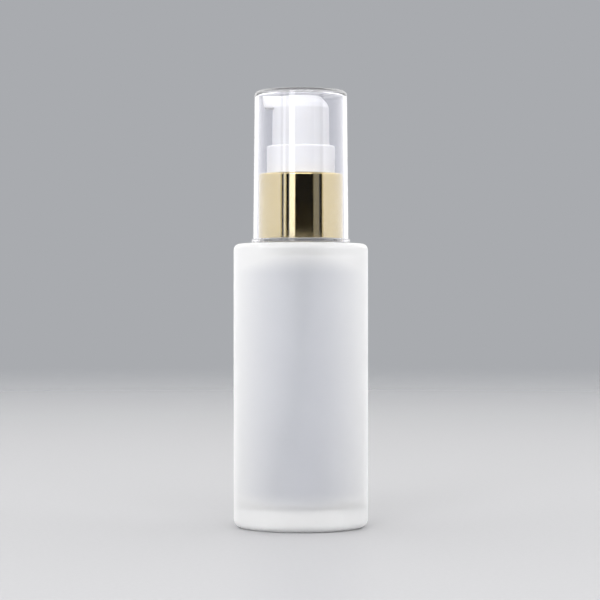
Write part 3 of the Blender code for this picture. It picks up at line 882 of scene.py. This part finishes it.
@dataclass
class LotionPump:
    """The lotion pump: valve body, guide, spring, piston, stem, ball and dip tube."""

    gasket_bore: float = 4.4
    bore: float = 3.5
    body_wall: float = 0.8
    flange: float = 0.8
    socket_bore: float = 1.55
    socket_wall: float = 0.8
    cage_bore: float = 1.8
    ball_stop: float = 1.35
    ball_rise: float = 1.193
    inlet: float = 1.0
    vent: float = 0.4
    vent_rise: float = 2.3
    guide_bore: float = 2.08
    wire: float = 0.25
    wire_gap: float = 0.025
    coils: int = 8
    tube_wall: float = 0.4
    tube_radius: float = 1.5
    tube_slant: tuple[float, float, float] = (0.6, 0.0, -0.8)
    slant_rise: float = 1.2
    stem_bore: float = 0.9
    stem_tail: float = 1.5
    stem_gap: float = 0.55
    port: float = 0.45
    port_rise: float = 1.533
    port_reach: float = 3.0
    keep_pressed: float = 0.476

    def gasket(self) -> None:
        """Makes the punched washer that seals the neck."""
        low, high, radius = extent("gasket")
        washer = turned(
            "neck_gasket",
            MIDDLE_FACETS,
            (self.gasket_bore, low, 0.08),
            (radius, low, 0.12),
            (radius, high, 0.12),
            (self.gasket_bore, high, 0.08),
        )
        dressed(washer, FOAM_LINER, Body.PUMP, "gasket")

    def housing(self) -> None:
        """Makes the valve body, from its flange down to the socket for the tube."""
        low, high, radius = extent("pump_housing")
        ledge = extent("spring").low - 0.05
        ball = extent("inlet_ball")
        cone = (ball.low + ball.high) / 2 - self.ball_rise
        outer = self.bore + self.body_wall
        cage = self.cage_bore + self.body_wall
        socket = self.socket_bore + self.socket_wall
        body = turned(
            "pump_valve_body",
            MIDDLE_FACETS,
            (radius, high, 0.15),
            (radius, high - self.flange, 0.15),
            (outer, high - self.flange, 0.12),
            (outer, ledge - 0.8, 0.5),
            (cage, ledge - 1.6, 0.3),
            (cage, cone),
            (socket, cone - 0.25),
            (socket, low, 0.2),
            (self.socket_bore, low, 0.1),
            (self.socket_bore, cone - 0.6),
            (self.inlet, cone - 0.6),
            (self.inlet, cone),
            (self.cage_bore, cone + 0.8),
            (self.cage_bore, ledge - 0.9),
            (self.ball_stop, ledge - 0.8),
            (self.ball_stop, ledge - 0.4),
            (self.cage_bore, ledge),
            (self.bore, ledge),
            (self.bore, high, 0.1),
        )
        z = extent("piston").low + self.vent_rise
        ends = (self.bore - 1, 0, z), (outer + 1.7, 0, z)
        worked(body, rod("vent", *ends, (self.vent,) * 2, HOLE_FACETS), Fit.CARVED)
        dressed(body, NATURAL_POLYETHYLENE, Body.PUMP, "pump_housing")

    def guide(self) -> None:
        """Makes the guide that snaps into the valve body and steers the stem."""
        low, high, radius = extent("chaplet")
        deck = extent("pump_housing").high + 0.05
        plug = extent("piston").radius
        guide = turned(
            "stem_guide",
            MIDDLE_FACETS,
            (radius, high, 0.3),
            (radius, deck, 0.08),
            (plug, deck, 0.05),
            (plug, low, 0.3),
            (self.guide_bore, low, 0.12),
            (self.guide_bore, high, 0.2),
        )
        dressed(guide, WHITE_POLYPROPYLENE, Body.PUMP, "chaplet")

    def dip_tube(self) -> None:
        """Draws the tube down to the corner of the floor and cuts it at a slant."""
        low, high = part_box("dip_tube")
        socket = extent("pump_housing").low
        lean = -low.x / MM - self.tube_radius
        top = high.z / MM
        points = [Vector((0, 0, top)), Vector((0, 0, (socket + top) / 2))]
        foot = low.z / MM
        for step in range(TUBE_STEPS + 1):
            share = step / TUBE_STEPS
            x, z = -lean * share * share, socket + (foot - socket) * share
            points.append(Vector((x, 0, z)))
        tube = drawn("dip_tube_drawn", points, self.tube_radius, capped=False)
        wall = tube.modifiers.new("wall", "SOLIDIFY")
        wall.thickness = self.tube_wall * MM
        wall.offset = -1.0
        applied(tube)
        slant = bmesh.new()
        slant.from_mesh(tube.data)
        cut = bmesh.ops.bisect_plane(
            slant,
            geom=slant.verts[:] + slant.edges[:] + slant.faces[:],
            plane_co=Vector((-lean, 0, foot + self.slant_rise)) * MM,
            plane_no=self.tube_slant,
            clear_outer=True,
        )
        rim = [e for e in cut["geom_cut"] if isinstance(e, bmesh.types.BMEdge)]
        bmesh.ops.bridge_loops(slant, edges=rim)
        slant.to_mesh(tube.data)
        slant.free()
        dressed(tube, NATURAL_POLYETHYLENE, Body.PUMP, "dip_tube")

    def spring(self) -> None:
        """Winds the return spring with closed ends."""
        out = extent("spring")
        mean = out.radius - self.wire
        closed = 2 * self.wire + self.wire_gap
        low, high = out.low + self.wire, out.high - self.wire
        open_pitch = (high - low - 2 * closed) / (self.coils - 2)
        points = []
        for step in range(self.coils * COIL_STEPS + 1):
            turn = step / COIL_STEPS
            rise = closed * min(turn, 1.0) + closed * max(turn - self.coils + 1, 0.0)
            rise += open_pitch * min(max(turn - 1.0, 0.0), self.coils - 2.0)
            points.append(around(mean, turn, low + rise))
        coil = drawn("return_spring", points, self.wire)
        dressed(coil, DRAWN_STEEL, Body.PUMP, "spring")
        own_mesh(coil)

    def ball(self) -> None:
        """Makes the inlet valve's ball."""
        low, high, radius = extent("inlet_ball")
        shape = bmesh.new()
        bmesh.ops.create_icosphere(
            shape,
            subdivisions=4,
            radius=radius * MM,
            matrix=Matrix.Translation((0, 0, (low + high) / 2 * MM)),
        )
        ball = settled("inlet_bearing_ball", shape)
        dressed(ball, LAPPED_STEEL, Body.INLET_BALL, "inlet_ball")

    def stem(self) -> None:
        """Makes the hollow stem with its two side ports."""
        low, high, radius = extent("stem")
        shoulder = extent("piston").high + self.stem_gap
        port_z = extent("piston").low + self.port_rise
        stem = turned(
            "hollow_stem",
            SMALL_FACETS,
            (0, low),
            (self.stem_tail, low, 0.3),
            (self.stem_tail, shoulder, 0.1),
            (radius, shoulder, 0.15),
            (radius, high, 0.3),
            (self.stem_bore, high, 0.1),
            (self.stem_bore, port_z - self.stem_bore, 0.3),
            (0, port_z - self.stem_bore),
        )
        ends = (0, -self.port_reach, port_z), (0, self.port_reach, port_z)
        ports = rod("ports", *ends, (self.port,) * 2, HOLE_FACETS)
        worked(stem, ports, Fit.CARVED)
        dressed(stem, WHITE_POLYPROPYLENE, Body.STEM, "stem")

    def seat(self) -> None:
        """Makes the seat on the stem's tail that the piston closes against."""
        low, high, radius = extent("piston_seat")
        spigot, bore, collar, floor = 2.1, 1.55, 1.2, 0.8
        seat = turned(
            "piston_seat_ring",
            SMALL_FACETS,
            (0, low),
            (spigot, low, 0.25),
            (spigot, high - collar, 0.1),
            (radius, high - collar, 0.15),
            (radius, high, 0.15),
            (bore, high, 0.08),
            (bore, low + floor, 0.1),
            (0, low + floor),
        )
        dressed(seat, WHITE_POLYPROPYLENE, Body.STEM, "piston_seat")

    def piston(self) -> None:
        """Makes the piston with a wiping lip at each end and a relieved waist."""
        low, high, radius = extent("piston")
        lip, waist, bore, relief, taper, lead = 0.9, 3.0, 1.55, 2.0, 0.3, 0.5
        piston = turned(
            "wiper_piston",
            SMALL_FACETS,
            (radius, high, 0.1),
            (radius, high - lip, 0.15),
            (waist, high - lip - taper, 0.2),
            (waist, low + lip + taper, 0.2),
            (radius, low + lip, 0.15),
            (radius, low, 0.1),
            (relief, low, 0.1),
            (bore, low + lead),
            (bore, high - lead),
            (relief, high, 0.1),
        )
        dressed(piston, SOFT_POLYETHYLENE, Body.PISTON, "piston")

    def make(self) -> None:
        """Makes every piece of the pump."""
        outside = (self.gasket, self.housing, self.guide, self.dip_tube)
        inside = (self.spring, self.ball, self.stem, self.seat, self.piston)
        for maker in (*outside, *inside):
            maker()


# --- The closure, the button and the cap ---


@dataclass
class ScrewClosure:
    """The threaded inner closure with its tower, and the polished shell over it."""

    tower_bore: float = 7.2
    tower_radius: float = 8.12
    skirt_bore: float = 8.95
    deck: float = 1.0
    step: float = 0.4
    snap_bore: float = 7.45
    guide_gap: float = 4.58
    shell_wall: float = 0.35
    shell_hole: float = 8.27
    snap_groove: float = 8.15
    snap_depth: float = 1.35
    snap_lip: float = 1.0
    thread_line: float = 9.2
    thread_root: float = 9.275
    thread_lift: float = 1.05
    thread_sink: float = 0.05
    thread_share: float = 0.98
    thread_wire: float = 1.0
    trim: tuple[float, float] = (9.3, 14.0)

    def inner(self) -> None:
        """Turns the white closure and fuses its thread."""
        low, high, radius = extent("closure")
        deck = extent("pump_housing").high + 0.1
        step = deck + self.deck + self.step
        closure = turned(
            "white_screw_closure",
            LARGE_FACETS,
            (self.tower_radius, high, 0.4),
            (self.tower_radius, step, 0.15),
            (radius, step, 0.5),
            (radius, low, 0.12),
            (self.skirt_bore, low, 0.12),
            (self.skirt_bore, deck, 0.3),
            (self.snap_groove, deck),
            (self.snap_groove, deck - self.snap_depth),
            (self.snap_bore, deck - self.snap_depth),
            (self.snap_bore - 0.3, deck - self.snap_lip),
            (self.snap_bore, deck - self.snap_lip),
            (self.snap_bore, deck),
            (self.guide_gap, deck, 0.1),
            (self.guide_gap, deck + self.deck, 0.1),
            (self.tower_bore, deck + self.deck, 0.3),
            (self.tower_bore, high, 0.25),
        )
        neck_end = extent("bottle").high - THREAD_TO_LIP
        start = neck_end - THREAD_TURNS * THREAD_PITCH - THREAD_PITCH / 2
        points, shares = helix(self.thread_line, start, (0.25, THREAD_TURNS))
        for point, share in zip(points, shares):
            reach = self.thread_root - self.thread_lift * share + self.thread_sink
            point.x *= reach / self.thread_line
            point.y *= reach / self.thread_line
        shares = [share * self.thread_share for share in shares]
        thread = drawn("closure_thread", points, self.thread_wire, shares)
        trim = turned(
            "thread_trim",
            LARGE_FACETS,
            (self.trim[0], low - 1),
            (self.trim[1], low - 1),
            (self.trim[1], deck + 1),
            (self.trim[0], deck + 1),
        )
        worked(thread, trim, Fit.CARVED)
        worked(closure, thread, Fit.FUSED)
        dressed(closure, WHITE_POLYPROPYLENE, Body.CLOSURE, "closure")

    def shell(self) -> None:
        """Turns the thin polished shell, open below and rolled over the step above."""
        low, high, radius = extent("collar_shell")
        inner = radius - self.shell_wall
        shell = turned(
            "gold_collar_shell",
            LARGE_FACETS,
            (radius, high, 0.55),
            (radius, low, 0.15),
            (inner, low, 0.1),
            (inner, high - self.shell_wall, 0.2),
            (self.shell_hole, high - self.shell_wall, 0.12),
            (self.shell_hole, high, 0.15),
        )
        dressed(shell, GOLD_ANODISED, Body.CLOSURE, "collar_shell")

    def make(self) -> None:
        """Makes the closure and its shell."""
        self.inner()
        self.shell()


@dataclass
class PushButton:
    """The white button: hollow, with a chamfered crown and a short raked beak."""

    radius: float = 6.85
    crown_inset: float = 2.05
    crown_drop: float = 1.7
    wall: float = 0.8
    roof: float = 1.2
    draft: float = 0.15
    post_radius: float = 3.18
    post_bore: float = 2.08
    post_grip: float = 5.6
    riser: float = 0.9
    channel: float = 0.8
    channel_wall: float = 0.6
    rib: float = 1.38
    rib_reach: float = 6.3
    beak_root: float = 2.4
    beak_width: float = 5.2
    beak_depth: float = 2.9
    beak_taper: float = 0.25
    beak_rake: float = 0.36
    beak_rounding: float = 0.38
    beak_drop: float = 0.02

    def shell(self) -> Object:
        """Turns the button with its roof and the post that grips the stem."""
        low, high, _ = extent("actuator")
        stem = extent("stem").high
        top, bore = self.radius - self.draft, self.radius - self.wall
        crown = self.radius - self.crown_inset
        return turned(
            "white_push_button",
            MIDDLE_FACETS,
            (0, high),
            (crown, high, 0.45),
            (top - 0.45, high - self.crown_drop, 1.2),
            (top, high - 1.6 * self.crown_drop, 1.2),
            (self.radius, low, 0.15),
            (bore, low, 0.15),
            (bore - self.draft, high - 1.9 * self.crown_drop, 0.5),
            (crown - self.wall, high - self.roof, 0.3),
            (self.post_radius, high - self.roof, 0.3),
            (self.post_radius, stem - self.post_grip, 0.15),
            (self.post_bore, stem - self.post_grip, 0.15),
            (self.post_bore, stem + 0.1),
            (0, stem + 0.1),
        )

    def beak(self, reach: float, top: float) -> Object:
        """Makes the beak, which narrows a little to its raked tip.

        Args:
            reach: how far the tip stands from the axis in millimetres.
            top: the height of its upper face in millimetres.

        Returns:
            The beak as a solid, from inside the button to the tip.
        """
        shape = bmesh.new()
        bmesh.ops.create_cube(shape, size=1.0)
        for vert in shape.verts:
            tip, under = vert.co.x < 0, vert.co.z < 0
            inset = self.beak_rake if under else 0.0
            width = self.beak_width - (2 * self.beak_taper if tip else 0.0)
            x = inset - reach if tip else -self.beak_root
            z = top - self.beak_depth if under else top
            vert.co = Vector((x, vert.co.y * width, z)) * MM
        bmesh.ops.bevel(
            shape,
            geom=shape.edges[:],
            offset=self.beak_rounding * MM,
            segments=5,
            profile=0.5,
            affect="EDGES",
            material=-1,
        )
        return settled("beak", shape)

    def make(self) -> None:
        """Makes the button, fuses its beak and drills the way out for the lotion."""
        low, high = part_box("actuator")
        reach, top = -low.x / MM, high.z / MM
        way = top - self.channel_wall - self.channel
        button = self.shell()
        centre, stem, tip = (0, 0, way), (0, 0, extent("stem").high), -reach
        fused = (
            rod("channel_rib", centre, (-self.rib_reach, 0, way), (self.rib,) * 2),
            self.beak(reach, top - self.beak_drop),
        )
        drilled = (
            ("riser", stem, centre, (self.riser,) * 2),
            ("channel", (self.riser, 0, way), (tip - 0.5, 0, way), (self.channel,) * 2),
            (
                "mouth",
                (tip - 0.3, 0, way),
                (tip + 0.5, 0, way),
                (self.channel + 0.5, self.channel - 0.15),
            ),
        )
        for added in fused:
            worked(button, added, Fit.FUSED)
        for hole in drilled:
            worked(button, rod(*hole), Fit.CARVED)
        dressed(button, WHITE_POLYPROPYLENE, Body.ACTUATOR, "actuator")


@dataclass
class Overcap:
    """The clear cover: a slightly tapered cup with a foot rim and a gate mark."""

    wall: float = 0.8
    roof: float = 1.05
    draft: float = 0.35
    foot_width: float = 0.35
    foot_height: float = 0.75
    rounding: float = 1.23
    gate_radius: float = 0.9
    gate_depth: float = 0.1

    def make(self) -> None:
        """Turns the cap. Lamps shine through it, as through real clear plastic."""
        low, high, radius = extent("overcap")
        foot = radius - self.foot_width
        bore = foot - self.wall
        cap = turned(
            "clear_overcap",
            LARGE_FACETS,
            (0, high - self.gate_depth),
            (self.gate_radius - 0.2, high - self.gate_depth, 0.1),
            (self.gate_radius, high, 0.1),
            (foot - self.draft, high, self.rounding),
            (foot, low + self.foot_height, 0.15),
            (radius, low + self.foot_height, 0.12),
            (radius, low, 0.12),
            (bore, low, 0.2),
            (bore - self.draft, high - self.roof, 0.5),
            (0, high - self.roof),
        )
        cap.visible_shadow = False
        dressed(cap, CLEAR_STYRENE, Body.OVERCAP, "overcap")


# --- The studio ---


@dataclass(frozen=True)
class Panel:
    """A soft glowing wall of the room, which lights the bottle but isn't seen itself.

    Its edges are degrees round the bottle, with zero towards the camera and positive
    to the camera's right, and its rise is how far up it goes, in degrees. A radiance of
    one is paper white.
    """

    edges: tuple[float, float]
    rise: tuple[float, float]
    radiance: float
    softness: float = 1.0

    def glow(self, tree: NodeTree, turn: Node, rise: Node) -> Node:
        """Adds the panel's glow, which falls off softly at its sides and its top.

        Args:
            tree: the world's tree.
            turn: the look's direction in degrees round the bottle.
            rise: how far it looks up from the floor, in degrees.

        Returns:
            The node that gives the panel's radiance in that direction.
        """
        middle = sum(self.edges) / 2
        half = (self.edges[1] - self.edges[0]) / 2
        off = add_node(tree, "Math", {0: turn, 1: middle}, operation="SUBTRACT")
        aside = add_node(tree, "Math", {0: off}, operation="ABSOLUTE")
        sides = add_node(
            tree,
            "MapRange",
            {
                "Value": aside,
                "From Min": half + self.softness,
                "From Max": half - self.softness,
                "To Max": self.radiance,
            },
            interpolation_type="SMOOTHSTEP",
        )
        top = add_node(
            tree,
            "MapRange",
            {"Value": rise, "From Min": self.rise[1], "From Max": self.rise[0]},
            interpolation_type="SMOOTHSTEP",
        )
        return add_node(tree, "Math", {0: sides, 1: top}, operation="MULTIPLY")


@dataclass(frozen=True)
class Softbox:
    """A flat even light that stands round the bottle or over it.

    The edges are degrees round the bottle, with zero towards the camera and positive
    to the camera's right. Distances are in metres, and radiance is the brightness of
    the light's face, where one is paper white.
    """

    name: str
    edges: tuple[float, float]
    heights: tuple[float, float]
    distance: float
    radiance: float
    tilt: float

    def place(self) -> None:
        """Hangs the light so that its face fills its edges and heights."""
        middle = math.radians(sum(self.edges) / 2)
        half = math.radians((self.edges[1] - self.edges[0]) / 2)
        lamp = bpy.data.lights.new(self.name, "AREA")
        lamp.shape = "RECTANGLE"
        lamp.size = 2 * self.distance * math.tan(half)
        lamp.size_y = self.heights[1] - self.heights[0]
        lamp.energy = self.radiance * math.pi * lamp.size * lamp.size_y
        light = linked(self.name, lamp)
        out = Vector((math.sin(middle), -math.cos(middle), 0))
        light.location = out * self.distance + Vector((0, 0, sum(self.heights) / 2))
        aim = Matrix.Rotation(math.radians(self.tilt), 3, out.cross(Vector((0, 0, 1))))
        light.rotation_mode = "QUATERNION"
        light.rotation_quaternion = (aim @ -out).to_track_quat("-Z", "Y")


@dataclass
class Studio:
    """A pale floor that fades into a plain backdrop, soft lights, and the camera."""

    backdrop: str = "#A9ABAF"
    room: float = 0.012
    floor_colour: str = "#AAAAAC"
    floor_radius: float = 4.0
    floor_roughness: tuple[float, float] = (0.34, 0.42)
    floor_gloss: float = 0.1
    speckle: float = 900.0
    fade: tuple[float, float] = (0.1, 1.3)
    camera_place: tuple[float, float, float] = (-0.0002, -0.522, 0.054)
    lens: float = 131.4
    ceiling: float = 1.0
    ceiling_rise: tuple[float, float] = (14.0, 34.0)
    panels: tuple[Panel, ...] = (
        Panel((-165, -52), (46, 60), 1.8),
        Panel((58, 165), (46, 60), 1.8),
        Panel((165, 195), (30, 50), 1.0),
        Panel((-195, -165), (30, 50), 1.0),
        Panel((-30, -15), (44, 54), 3.0),
        Panel((-46, -39), (44, 54), 1.9),
        Panel((33, 49), (44, 54), 0.5),
    )
    key: Softbox = Softbox("key", (-33, 33), (0.4, 1.1), 0.85, 3.2, 39.0)

    def light_world(self) -> None:
        """Sets the room of panels, and a plain backdrop for the eye."""
        world = bpy.data.worlds.new("studio")
        bpy.context.scene.world = world
        tree = cleared(world)
        look = add_node(tree, "TexCoord").outputs["Generated"]
        x, y, z = add_node(tree, "SeparateXYZ", {0: look}).outputs
        towards = add_node(tree, "Math", {0: y, 1: -1.0}, operation="MULTIPLY")
        angles = (
            add_node(tree, "Math", {0: x, 1: towards}, operation="ARCTAN2"),
            add_node(tree, "Math", {0: z}, operation="ARCSINE"),
        )
        turn, rise = (
            add_node(tree, "Math", {0: angle}, operation="DEGREES") for angle in angles
        )
        light = add_node(
            tree,
            "MapRange",
            {
                "Value": rise,
                "From Min": self.ceiling_rise[0],
                "From Max": self.ceiling_rise[1],
                "To Min": self.room,
                "To Max": self.ceiling,
            },
            interpolation_type="SMOOTHSTEP",
        )
        for panel in self.panels:
            glow = panel.glow(tree, turn, rise)
            light = add_node(tree, "Math", {0: light, 1: glow}, operation="ADD")
        lit = add_node(tree, "Background", {"Strength": light})
        seen = add_node(tree, "Background", {"Color": linear(self.backdrop)})
        mixed = add_node(tree, "MixShader", {0: self.looked_at(tree), 1: lit, 2: seen})
        add_node(tree, "OutputWorld", {"Surface": mixed})
        world.cycles.sampling_method = "NONE"

    def looked_at(self, tree: NodeTree) -> Node:
        """Adds a switch that tells a plain look past the bottle from light on it.

        Args:
            tree: the world's tree.

        Returns:
            A node that gives one for a look straight at the backdrop or through
            polished clear walls, and zero for what a surface scatters or mirrors.
        """
        path = add_node(tree, "LightPath").outputs
        unmirrored, unscattered = (
            add_node(tree, "Math", {0: path[name], 1: 0.5}, operation="LESS_THAN")
            for name in ("Glossy Depth", "Diffuse Depth")
        )
        through = path["Is Singular Ray"]
        for test in (path["Is Transmission Ray"], unmirrored, unscattered):
            both = {0: through, 1: test}
            through = add_node(tree, "Math", both, operation="MULTIPLY")
        straight = path["Is Camera Ray"]
        return add_node(tree, "Math", {0: through, 1: straight}, operation="MAXIMUM")

    def lay_floor(self) -> None:
        """Lays the floor, a painted board whose far edge melts into the backdrop."""
        shape = bmesh.new()
        bmesh.ops.create_circle(
            shape, cap_ends=True, segments=MIDDLE_FACETS, radius=self.floor_radius
        )
        floor = settled("studio_floor", shape)
        material = bpy.data.materials.new("painted_board")
        tree = cleared(material)
        place = add_node(tree, "TexCoord").outputs["Object"]
        away = add_node(tree, "VectorMath", {0: place}, operation="LENGTH")
        near, far = self.fade
        fade = add_node(
            tree,
            "MapRange",
            {"Value": away.outputs["Value"], "From Min": near, "From Max": far},
            interpolation_type="SMOOTHSTEP",
        )
        speckle = add_node(tree, "TexNoise", {"Vector": place, "Scale": self.speckle})
        low, high = self.floor_roughness
        sheen = add_node(
            tree, "MapRange", {"Value": speckle, "To Min": low, "To Max": high}
        )
        board = add_node(
            tree,
            "BsdfPrincipled",
            {
                "Base Color": linear(self.floor_colour),
                "Roughness": sheen,
                "Specular IOR Level": self.floor_gloss,
            },
        )
        clear = add_node(tree, "BsdfTransparent")
        mixed = add_node(tree, "MixShader", {0: fade, 1: board, 2: clear})
        add_node(tree, "OutputMaterial", {"Surface": mixed})
        floor.data.materials.append(material)

    def set_camera(self) -> None:
        """Sets the camera level with the middle of the bottle."""
        camera = linked("camera", bpy.data.cameras.new("camera"))
        camera.data.sensor_width = 36.0
        camera.data.lens = self.lens
        camera.data.clip_start = 0.05
        camera.location = self.camera_place
        camera.rotation_euler = (math.pi / 2, 0, 0)
        bpy.context.scene.camera = camera

    def make(self) -> None:
        """Sets the camera, the backdrop, the floor and the lights."""
        self.set_camera()
        self.light_world()
        self.lay_floor()
        self.key.place()
        bpy.context.scene.view_settings.view_transform = "Standard"


def main() -> None:
    """Builds the studio and every piece."""
    logging.basicConfig(level=logging.INFO, format="%(name)s: %(message)s")
    Studio().make()
    GlassBottle().make()
    LotionPump().make()
    ScrewClosure().make()
    PushButton().make()
    Overcap().make()


if __name__ == "__main__":
    main()
